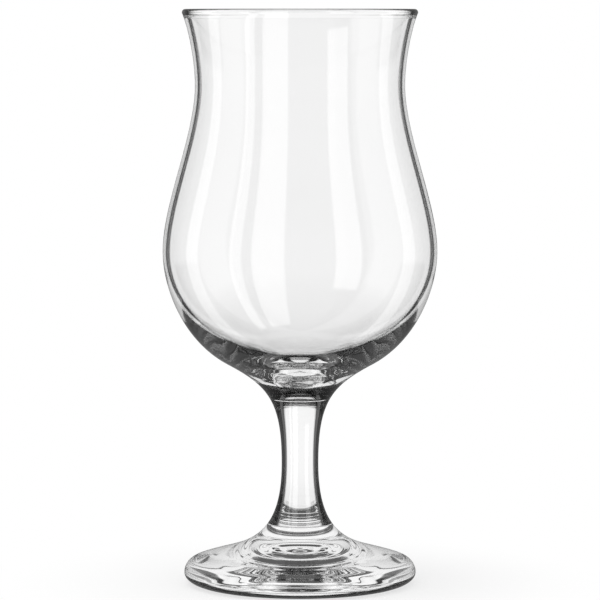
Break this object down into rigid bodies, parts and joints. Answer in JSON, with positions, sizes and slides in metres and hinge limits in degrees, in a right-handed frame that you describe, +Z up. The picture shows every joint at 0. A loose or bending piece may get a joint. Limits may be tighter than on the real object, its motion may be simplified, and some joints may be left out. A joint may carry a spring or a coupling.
{
  "type": "hurricane glass",
  "caption": "Clear stemmed hurricane glass with a flared rim, a drawn-in waist, a round belly, a short waisted stem and a domed foot.",
  "frame": {"origin": "centre of the foot's standing ring, on the table", "axes": "+Z up along the glass's axis, X and Y free because the glass is turned"},
  "size_m": [0.0858, 0.0858, 0.18],
  "materials": {
    "clear_glass": "clear, fire-polished soda-lime glass"
  },
  "bodies": {
    "root": {"bowl": "clear_glass", "stem": "clear_glass", "foot": "clear_glass"}
  },
  "joints": []
}
